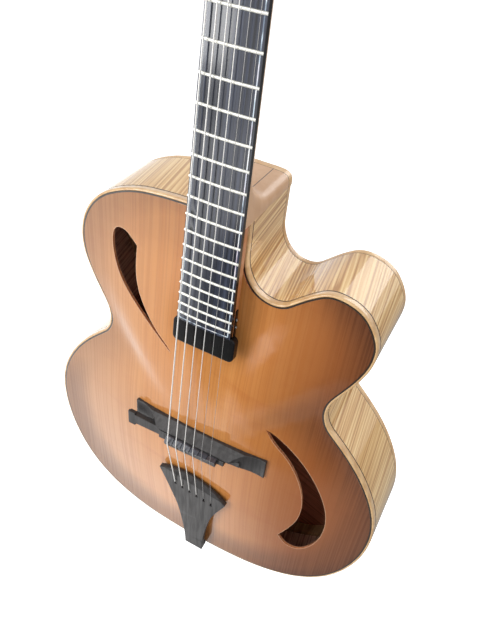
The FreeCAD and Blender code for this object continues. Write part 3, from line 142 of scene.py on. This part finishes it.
# Materials. A run is where a change starts and ends, and, if given, its strength at both ends.
def cedar():
    """Carved top: straight fine grain, an amber middle and a brown burst, darker to the treble
    partly as painted shade, paler to the bass as a painted reflection, with painted shade by the
    neck and painted highlights on the sound-hole rims.
    """
    amber, amber_light = srgb(199, 130, 66), srgb(206, 140, 76)
    silk_brown, grain_brown = srgb(182, 104, 50), srgb(150, 84, 42)
    treble_burst_shade_brown, bass_haze_tan = srgb(142, 78, 40), srgb(182, 140, 104)
    burst_brown, burst_grain = srgb(98, 60, 40), srgb(74, 44, 30)
    raw_light, raw_dark, rim_highlight_pale = srgb(206, 132, 88), srgb(178, 106, 68), srgb(240, 200, 164)
    # ovals of the bouts: half width, middle height and half height
    lower_bout, upper_bout, bout_blend = (0.216, 0.18, 0.195), (0.162, 0.41, 0.122), 0.8
    grain_sway, rim_radius = 0.06, 0.0013
    burst_run, burst_sides_shade = (0.66, 1.07), (-0.16, 0.16, 0.36, 0.95)
    low_run, tail_run, neck_shade_run = (-0.0465, -0.0412), (0.32, 0.2, 0.0, 0.6), (0.42, 0.5, 0.0, 0.22)
    silk_run, grain_run = (0.52, 0.75, 0.0, 0.35), (0.45, 0.62, 0.0, 0.2)
    treble_shade_run, bass_haze_run = (0.01, 0.14, 0.0, 0.84), (-0.04, -0.16, 0.0, 0.6)
    inside_run, rim_highlight_run = (-0.35, -0.1), (0.99, 0.9, 0.0, 0.7)
    bass_half, below_cutaway, off_edge = (0.0, -0.01), (0.3, 0.28), (0.97, 0.92)
    rough_ends = (0.42, 0.55)

    m = Mat("cedar", Coat_Weight=1.0, Coat_Roughness=0.04, Coat_IOR=1.5, Specular_IOR_Level=0.06)
    x, y, z = m.split()
    fine = m.noise((560, 3, 3), detail=1.0, rough=0.6)
    streak = m.noise((110, 2, 1.6), detail=3.0, rough=0.6)
    silk = m.noise((9, 2, 26), detail=3.0, rough=0.5, distort=1.2)
    bouts = {0: m.oval(x, z, *lower_bout), 1: m.oval(x, z, *upper_bout), 2: bout_blend}
    nearer = m.node("ShaderNodeMath", bouts, operation="SMOOTH_MIN").outputs[0]
    sway = m.math("MULTIPLY", m.math("SUBTRACT", streak, 0.5), grain_sway)
    out = m.math("ADD", m.math("SQRT", m.math("MAXIMUM", nearer, 0.0)), sway)
    # burst heavier to the treble: partly the burst of the finish, partly painted shade
    burst = m.math("MULTIPLY", m.span(out, *burst_run), m.span(x, *burst_sides_shade))
    # low parts of the arch: burst next to the edge of the lower bout, painted shade next to the
    # neck
    where = m.math("MAXIMUM", m.span(z, *tail_run), m.span(z, *neck_shade_run))
    burst = m.math("MAXIMUM", burst, m.math("MULTIPLY", m.span(y, *low_run), where))
    base = m.mix(m.span(streak, *NOISE_WIDE), amber, amber_light)
    base = m.mix(m.span(silk, *silk_run), base, silk_brown)
    # treble side darker: partly the finish, partly painted shade
    base = m.mix(m.span(x, *treble_shade_run), base, treble_burst_shade_brown)
    # bass side paler and pinker: painted reflection of the bright floor in the gloss
    base = m.mix(m.span(x, *bass_haze_run), base, bass_haze_tan)
    base = m.mix(m.span(fine, *grain_run), base, grain_brown)
    lines = m.span(fine, *NOISE_NARROW)
    base = m.mix(burst, base, m.mix(lines, burst_brown, burst_grain))
    # cut edges of the sound holes and the raw inside
    inside = m.span(m.split(m.normal)[1], *inside_run)
    base = m.mix(inside, base, m.mix(lines, raw_light, raw_dark))
    # rims of the sound holes, painted paler as a highlight on their rounded edges
    rounded = m.node("ShaderNodeBevel", {"Radius": rim_radius}, samples=8).outputs[0]
    flat = m.node("ShaderNodeNewGeometry").outputs["Normal"]
    turned = m.node("ShaderNodeVectorMath", {0: rounded, 1: flat}, operation="DOT_PRODUCT")
    holes = m.math("MAXIMUM", m.span(x, *bass_half), m.span(z, *below_cutaway))
    holes = m.math("MULTIPLY", holes, m.span(out, *off_edge))
    rim = m.math("MULTIPLY", m.span(turned.outputs["Value"], *rim_highlight_run), holes)
    base = m.mix(rim, base, rim_highlight_pale)
    rough = m.span(fine, *NOISE_WIDE, *rough_ends)
    return m.surface(base, rough, fine, strength=0.05, distance=0.0004)


def rib_flame(m):
    """Narrow and broad stripes across the rib, leaning along its own run."""
    lean_share = -0.18
    x, y, z = m.split()
    out_x, _, out_z = m.split(m.normal)
    lean = m.math("MULTIPLY", y, lean_share)
    across = m.math("SUBTRACT", x, m.math("MULTIPLY", lean, out_z))
    along = m.math("ADD", z, m.math("MULTIPLY", lean, out_x))
    skewed = m.node("ShaderNodeCombineXYZ", {0: across, 1: y, 2: along}).outputs[0]
    narrow = m.noise((480, 5, 480), detail=0.0, rough=0.4, distort=0.1, vector=skewed)
    broad = m.noise((110, 4, 110), detail=1.0, rough=0.5, distort=0.2, vector=skewed)
    return narrow, broad


def plate_flame(m):
    """Narrow and broad stripes of two matched halves, falling from the joint to the edges."""
    fall_share = 0.3
    x, y, z = m.split()
    half = m.math("ABSOLUTE", x)
    fall = m.math("ADD", z, m.math("MULTIPLY", half, fall_share))
    matched = m.node("ShaderNodeCombineXYZ", {0: half, 1: y, 2: fall}).outputs[0]
    narrow = m.noise((14, 4, 330), detail=1.0, rough=0.4, distort=0.15, vector=matched)
    broad = m.noise((7, 4, 90), detail=1.0, rough=0.5, distort=0.2, vector=matched)
    return narrow, broad


def rib_inside(m):
    """Rib faces that look into the body, kept off the cutaway, whose outside faces inwards too."""
    inward_run, bass_half, below_cutaway = (-0.05, -0.3), (0.0, -0.02), (0.34, 0.3)
    x, _, z = m.split()
    out_x = m.split(m.normal)[0]
    inward = m.span(m.math("MULTIPLY", m.math("SIGN", x), out_x), *inward_run)
    clear = m.math("MAXIMUM", m.span(x, *bass_half), m.span(z, *below_cutaway))
    return m.math("MULTIPLY", inward, clear)


def plate_inside(m):
    """Face of the back plate that looks into the body."""
    inward_run = (-0.2, -0.5)
    return m.span(m.split(m.normal)[1], *inward_run)


def maple(name, stripes, inside, tones, raw_tones):
    """Flamed wood: narrow stripes over slow changes of colour, raw inside the body."""
    light, mid, dark = (srgb(*tone) for tone in tones)
    raw_light, raw_dark = (srgb(*tone) for tone in raw_tones)
    narrow_share, broad_share = 0.88, 0.12
    stops = [(0.36, dark), (0.46, mid), (0.53, mid), (0.62, light)]
    pore_run, cloud_run = (0.5, 0.75, 0.0, 0.2), (0.4, 0.7, 0.0, 0.25)
    rough_run = (0.35, 0.65, 0.36, 0.5)

    m = Mat(name, Coat_Weight=1.0, Coat_Roughness=0.05, Coat_IOR=1.5, Specular_IOR_Level=0.3)
    narrow, broad = stripes(m)
    fine = m.noise((500, 1100, 500), detail=2.0, rough=0.6)
    slow = m.noise((9, 5, 9), detail=2.0, rough=0.5)
    narrow = m.math("MULTIPLY", narrow, narrow_share)
    both = m.math("ADD", narrow, m.math("MULTIPLY", broad, broad_share))
    base = m.ramp(both, stops)
    base = m.mix(m.span(fine, *pore_run), base, dark)
    base = m.mix(m.span(slow, *cloud_run), base, mid)
    raw = m.mix(m.span(both, *NOISE_NARROW), raw_light, raw_dark)
    base = m.mix(inside(m), base, raw)
    return m.surface(base, m.span(both, *rough_run), both, strength=0.06, distance=0.0005)


def plain_wood(name, light, dark, scale, coat, rough_ends):
    """Grain and finer pores in two tones."""
    light, dark = srgb(*light), srgb(*dark)
    pore_run, pore_ratio = (0.56, 0.75, 0.0, 0.45), 4
    m = Mat(name, Coat_Weight=coat, Coat_Roughness=0.08, Specular_IOR_Level=0.4)
    grain = m.noise(scale, detail=4.0, rough=0.6, distort=0.3)
    pores = m.noise(tuple(pore_ratio * s for s in scale), detail=2.0, rough=0.7)
    base = m.mix(m.span(grain, *NOISE_WIDE), light, dark)
    base = m.mix(m.span(pores, *pore_run), base, dark)
    rough = m.span(grain, *NOISE_WIDE, *rough_ends)
    return m.surface(base, rough, pores, strength=0.08, distance=0.0003)


def metal(name, tone, rough_ends, scale, bump, metallic):
    """One tone, a little duller where it is worn."""
    wear_run, wear_share = (0.35, 0.7), 0.82
    tint = srgb(*tone)
    worn = (*(wear_share * c for c in tint[:3]), 1.0)
    m = Mat(name, Metallic=metallic)
    wear = m.noise(scale, detail=3.0, rough=0.6)
    rough = m.span(wear, *NOISE_WIDE, *rough_ends)
    return m.surface(m.mix(m.span(wear, *wear_run), tint, worn), rough, wear, bump, distance=0.0002)


def black_cover():
    """Moulded cover that keeps its black under a bright sky."""
    black, deep_black, rough_ends = srgb(22, 22, 23), srgb(13, 13, 14), (0.16, 0.26)
    m = Mat("black_gloss", Specular_IOR_Level=0.22)
    cloud = m.noise((60, 60, 60), detail=3.0, rough=0.6)
    speck = m.noise((1500, 1500, 1500), detail=1.0, rough=0.5)
    base = m.mix(m.span(cloud, *NOISE_WIDE), black, deep_black)
    rough = m.span(cloud, *NOISE_WIDE, *rough_ends)
    return m.surface(base, rough, speck, strength=0.02, distance=0.0001)


def board_ebony():
    """Fingerboard: near-black with fine streaks along the neck, tinted blue-grey as a painted
    reflection, polished on its face; sides painted near-black as shade.
    """
    # streak tones: ebony grain tinted blue-grey as a painted reflection
    stops = [(0.32, srgb(30, 32, 40)), (0.5, srgb(46, 50, 62)), (0.68, srgb(68, 74, 92))]
    pore_black, side_shade_black = srgb(26, 26, 30), srgb(10, 10, 11)
    pore_run, side_run, coat_run = (0.55, 0.75, 0.0, 0.4), (-0.75, -0.45), (0.0, 1.0, 0.9, 0.15)
    rough_ends = (0.16, 0.26)
    m = Mat("board_ebony", Coat_Roughness=0.1, Specular_IOR_Level=0.25)
    streak = m.noise((520, 60, 4), detail=4.0, rough=0.6, distort=0.2)
    pores = m.noise((2200, 240, 30), detail=2.0, rough=0.7)
    base = m.mix(m.span(pores, *pore_run), m.ramp(streak, stops), pore_black)
    side = m.span(m.split(m.normal)[1], *side_run)
    m.put(m.shader.inputs["Coat Weight"], m.span(side, *coat_run))
    rough = m.span(streak, *NOISE_WIDE, *rough_ends)
    # sides painted near-black as shade
    return m.surface(m.mix(side, base, side_shade_black), rough, pores, strength=0.05, distance=0.0002)


def pearl():
    """Shell line in the board: short patches from grey-blue to white, some of them rosy."""
    stops = [(0.36, srgb(124, 138, 156)), (0.48, srgb(206, 222, 234)), (0.6, srgb(253, 254, 255))]
    rosy, rosy_run, rough_ends = srgb(238, 212, 230), (0.55, 0.7, 0.0, 0.5), (0.16, 0.3)
    m = Mat("pearl", Coat_Weight=0.6, Coat_Roughness=0.08, Specular_IOR_Level=0.5)
    patch = m.noise((120, 120, 55), detail=2.0, rough=0.6)
    tint = m.noise((60, 60, 34), detail=1.0, rough=0.5)
    base = m.mix(m.span(tint, *rosy_run), m.ramp(patch, stops), rosy)
    rough = m.span(patch, *NOISE_WIDE, *rough_ends)
    return m.surface(base, rough, patch, strength=0.03, distance=0.0002)


# Flamed woods: stripes, inside faces, tones from light to dark, tones of the raw inside
MAPLES = {
    "maple": (
        rib_flame, rib_inside,
        [(240, 208, 152), (216, 174, 116), (178, 128, 72)],
        [(238, 200, 178), (206, 160, 138)],
    ),
    "back_maple": (
        plate_flame, plate_inside,
        [(236, 204, 148), (212, 170, 112), (176, 128, 72)],
        [(214, 140, 108), (186, 116, 86)],
    ),
}
# Plain woods, bone and horn: light and dark tone, scale of the grain, coat, ends of roughness
SATIN = (0.35, 0.5)
PLAIN_WOODS = {
    "binding_wood": ((226, 188, 136), (200, 156, 104), (90, 90, 90), 1.0, SATIN),
    "dark_veneer": ((58, 42, 28), (36, 26, 18), (120, 120, 120), 0.8, SATIN),
    "spruce": ((206, 170, 122), (168, 128, 84), (300, 20, 8), 0.0, (0.6, 0.8)),
    "neck_wood": ((208, 168, 132), (200, 158, 120), (70, 60, 4), 0.5, SATIN),
    # neck wood under the fingerboard, painted orange as bounce light from the top and darker as
    # shade
    "extension_wood": ((186, 122, 76), (170, 106, 64), (90, 70, 5), 0.6, SATIN),
    "ebony": ((60, 58, 58), (42, 40, 40), (260, 160, 14), 0.0, (0.42, 0.55)),
    "bone": ((236, 228, 206), (220, 208, 180), (200, 200, 200), 0.3, SATIN),
    "grey_horn": ((70, 73, 84), (52, 55, 64), (200, 200, 60), 0.4, SATIN),
}
# Metals: tone, ends of roughness, scale of the wear, bump, metallic
METALS = {
    "nickel": ((192, 190, 186), (0.16, 0.3), (90, 90, 90), 0.02, 1.0),
    "steel": ((176, 176, 180), (0.28, 0.42), (40, 400, 40), 0.02, 1.0),
    "copper_coil": ((170, 96, 58), (0.3, 0.45), (30, 900, 30), 0.02, 1.0),
    "string_steel": ((248, 246, 242), (0.3, 0.42), (50, 50, 1800), 0.25, 0.4),
    "plain_string": ((190, 188, 186), (0.3, 0.4), (50, 50, 300), 0.02, 0.7),
    "fret_metal": ((226, 225, 217), (0.34, 0.46), (200, 200, 200), 0.02, 0.7),
}
materials = {
    "cedar": cedar(),
    "black_gloss": black_cover(),
    "board_ebony": board_ebony(),
    "pale_line": pearl(),
}
for make, table in ((maple, MAPLES), (plain_wood, PLAIN_WOODS), (metal, METALS)):
    for name, row in table.items():
        materials[name] = make(name, *row)

# Nodes with a look of their own; all others take the look of their slot
OWN_LOOKS = {
    "back_plate": "back_maple",
    "fingerboard": "board_ebony",
    "neck_extension": "extension_wood",
    "frets": "fret_metal",
    "strings_plain": "plain_string",
}
slots = {s["node"]: s["material_slot"] for s in frame["record"]["subparts"]}
for name, obj in nodes.items():
    obj.data.materials.clear()
    obj.data.materials.append(materials[OWN_LOOKS.get(name, slots[name])])

# Worked edges: width of the bevel on each node, in metres
EDGE_WIDTHS = {
    "bridge_base": 0.0006,
    "bridge_wedge": 0.0005,
    "bridge_saddle": 0.0003,
    "saddle_segments": 0.0002,
    "tailpiece": 0.0005,
    "heel_cap": 0.0005,
    "nut": 0.0003,
    "neck_extension": 0.0004,
    "top_binding": 0.0012,
    "back_binding": 0.0012,
}
WELD_REACH = 1e-5
EDGE_ANGLE = 35.0
EDGE_SEGMENTS = 2


def soften(obj, width):
    """Breaks hard edges with a small bevel."""
    weld = obj.modifiers.new("weld", "WELD")
    weld.merge_threshold = WELD_REACH
    bevel = obj.modifiers.new("edges", "BEVEL")
    bevel.width = width
    bevel.segments = EDGE_SEGMENTS
    bevel.limit_method = "ANGLE"
    bevel.angle_limit = math.radians(EDGE_ANGLE)
    bevel.use_clamp_overlap = True
    bevel.harden_normals = True


for name, width in EDGE_WIDTHS.items():
    soften(nodes[name], width)

# Stage: pale floor, white surroundings, soft lamps, camera of the photograph
FLOOR_HALF, FLOOR_HEIGHT = 6.0, -0.30
FLOOR_GREY, FLOOR_GLOW = 0.86, 0.75
# Oval of painted shadow on the floor, seen only in reflections, where the viewer stands: middle
# across, half width, middle and half length
VIEWER_SHADOW_X, VIEWER_SHADOW_OVAL = 0.15, (0.8, -1.3, 0.68)
VIEWER_SHADOW_RUN, SHADOW_TREBLE_RUN = (0.82, 1.2, 0.04, 1.0), (-0.2, 0.17, 1.0, 0.2)
SKY_LIGHT, SKY_SEEN = 0.45, 1.0
# Lamps: place, target, size and power
LAMPS = {
    "panel": ((-1.75, -2.4, 0.75), (0, -0.03, 0.6), (1.1, 1.5), 34),
    "key": ((-1.1, -1.6, 2.0), (0, 0, 0.35), (1.8, 1.8), 28),
    "fill": ((1.9, -0.9, 1.2), (0.1, 0, 0.35), (1.4, 1.8), 5),
    "rim": ((0.95, 1.8, 1.75), (0, 0, 0.4), (2.2, 1.6), 31),
}
CAMERA_PLACE = (0.2103, -0.4507, 0.8107)
CAMERA_RIGHT = (0.87685, 0.47331, 0.08431)
CAMERA_DOWN = (0.36874, -0.54961, -0.74964)
CAMERA_AHEAD = (-0.30847, 0.68841, -0.65646)
CAMERA_LENS, CAMERA_SENSOR = 35.25, 36.0


def add_object(name, data):
    obj = bpy.data.objects.new(name, data)
    bpy.context.scene.collection.objects.link(obj)
    return obj


def any_of(tree, *sockets):
    """Largest of several Light Path sockets."""
    result = sockets[0]
    for socket in sockets[1:]:
        n = tree.nodes.new("ShaderNodeMath")
        n.operation = "MAXIMUM"
        tree.links.new(result, n.inputs[0])
        tree.links.new(socket, n.inputs[1])
        result = n.outputs[0]
    return result


def floor_material():
    """Pale floor, white to the camera; glossy surfaces see a painted shadow on it where the viewer
    stands.
    """
    m = Mat("floor", Roughness=0.9, Base_Color=grey(FLOOR_GREY))
    x, y, _ = m.split()
    path = m.node("ShaderNodeLightPath").outputs
    glow = m.node("ShaderNodeEmission", {"Color": grey(1.0), "Strength": FLOOR_GLOW}).outputs[0]
    lit = m.join("ShaderNodeAddShader", m.shader.outputs[0], glow)
    seen = any_of(m.t, path["Is Camera Ray"], path["Is Transmission Ray"])
    direct = m.join("ShaderNodeMixShader", m.shader.outputs[0], lit, seen)
    # painted shadow of the viewer on the floor, seen only by glossy rays
    away = m.math("SQRT", m.oval(m.math("SUBTRACT", x, VIEWER_SHADOW_X), y, *VIEWER_SHADOW_OVAL))
    share = m.math("MULTIPLY", m.span(away, *VIEWER_SHADOW_RUN), m.span(x, *SHADOW_TREBLE_RUN))
    dark = m.node("ShaderNodeEmission", {"Color": grey(0.0), "Strength": 0.0}).outputs[0]
    reflected_with_shadow = m.join("ShaderNodeMixShader", dark, lit, share)
    whole = m.join("ShaderNodeMixShader", direct, reflected_with_shadow, path["Is Glossy Ray"])
    m.put(m.t.nodes["Material Output"].inputs[0], whole)
    return m.m


def add_floor():
    mesh = bpy.data.meshes.new("floor")
    s, low = FLOOR_HALF, FLOOR_HEIGHT
    corners = [(-s, -s, low), (s, -s, low), (s, s, low), (-s, s, low)]
    mesh.from_pydata(corners, [], [(0, 1, 2, 3)])
    floor = add_object("floor", mesh)
    floor.data.materials.append(floor_material())


def add_world():
    """White to the camera and to glossy and clear surfaces, a softer light to all others."""
    world = bpy.data.worlds.new("studio")
    bpy.context.scene.world = world
    world.use_nodes = True
    t = world.node_tree
    back = t.nodes["Background"]
    back.inputs["Color"].default_value = grey(1.0)
    path = t.nodes.new("ShaderNodeLightPath").outputs
    seen = any_of(t, path["Is Camera Ray"], path["Is Glossy Ray"], path["Is Transmission Ray"])
    level = t.nodes.new("ShaderNodeMapRange")
    t.links.new(seen, level.inputs[0])
    for socket, end in zip(RANGE_ENDS[2:], (SKY_LIGHT, SKY_SEEN)):
        level.inputs[socket].default_value = end
    t.links.new(level.outputs[0], back.inputs["Strength"])


def add_lamp(name, place, target, size, power):
    lamp = bpy.data.lights.new(name, "AREA")
    lamp.shape = "RECTANGLE"
    lamp.size, lamp.size_y = size
    lamp.energy = power
    obj = add_object(name, lamp)
    obj.location = place
    ahead = Vector(target) - Vector(place)
    obj.rotation_euler = ahead.to_track_quat("-Z", "Y").to_euler()


def add_camera():
    cam = bpy.data.cameras.new("camera")
    cam.lens = CAMERA_LENS
    cam.sensor_width = CAMERA_SENSOR
    obj = add_object("camera", cam)
    axes = (Vector(CAMERA_RIGHT), -Vector(CAMERA_DOWN), -Vector(CAMERA_AHEAD))
    obj.matrix_world = Matrix.Translation(CAMERA_PLACE) @ Matrix(axes).transposed().to_4x4()
    bpy.context.scene.camera = obj


add_floor()
add_world()
for name, row in LAMPS.items():
    add_lamp(name, *row)
add_camera()
bpy.context.scene.view_settings.view_transform = "Standard"
